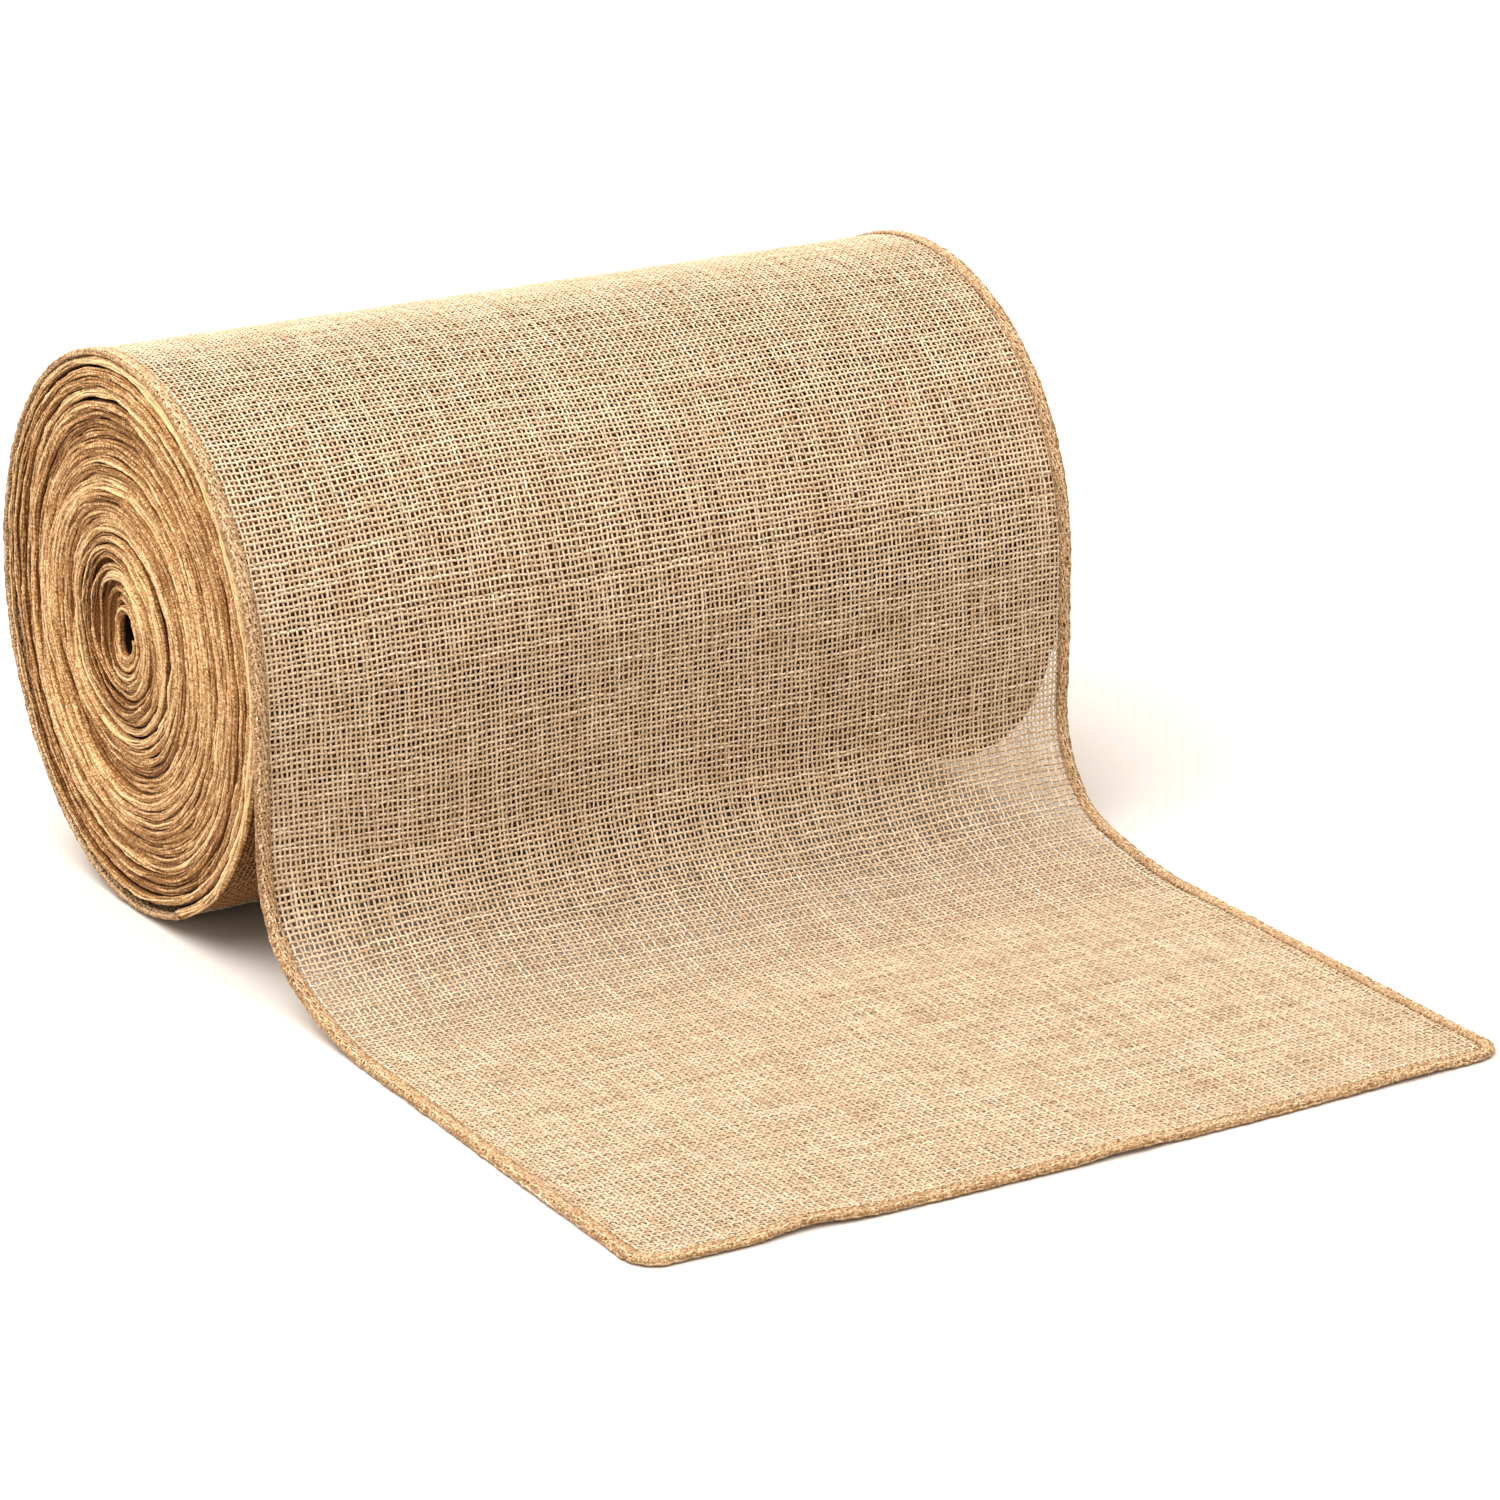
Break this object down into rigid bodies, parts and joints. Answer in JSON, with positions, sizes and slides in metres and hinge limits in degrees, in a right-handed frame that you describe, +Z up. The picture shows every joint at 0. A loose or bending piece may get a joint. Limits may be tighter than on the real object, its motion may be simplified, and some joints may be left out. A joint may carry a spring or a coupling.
{
  "type": "coreless burlap ribbon roll",
  "caption": "Coreless roll of wide jute burlap ribbon, its overlocked free end hanging down the front and laid out flat.",
  "frame": {"origin": "on the floor, at the middle of the bounding box's underside", "axes": "+Z up; +X along the roll's axis; -Y towards the free front end"},
  "size_m": [0.305, 0.4236, 0.1872],
  "materials": {
    "jute_cloth": "open plain-weave natural jute, dry and matt",
    "overlock_thread": "looped spun thread seam, golden tan, matt and slightly fuzzy"
  },
  "bodies": {
    "roll": {"inner_turn": "jute_cloth", "wound_cloth": "jute_cloth", "wound_overlock_left": "overlock_thread", "wound_overlock_right": "overlock_thread"},
    "root": {"outer_turn_cloth": "jute_cloth", "outer_turn_overlock_left": "overlock_thread", "outer_turn_overlock_right": "overlock_thread", "curtain_cloth": "jute_cloth", "curtain_overlock_left": "overlock_thread", "curtain_overlock_right": "overlock_thread"},
    "tail": {"apron_cloth": "jute_cloth", "apron_overlock_left": "overlock_thread", "apron_overlock_right": "overlock_thread", "front_overlock": "overlock_thread"}
  },
  "joints": [
    {"name": "roll_spin", "type": "hinge", "parent": "root", "child": "roll", "pos_m": [0, 0.1182, 0.0936], "axis": [1, 0, 0], "range_deg": [0, 55]},
    {"name": "tail_pull", "type": "slide", "parent": "root", "child": "tail", "axis": [0, -1, 0], "range_m": [0, 0.0886]}
  ],
  "couplings": [
    {"joint": "tail_pull", "follows": "roll_spin", "m_per_rad": 0.09225}
  ]
}
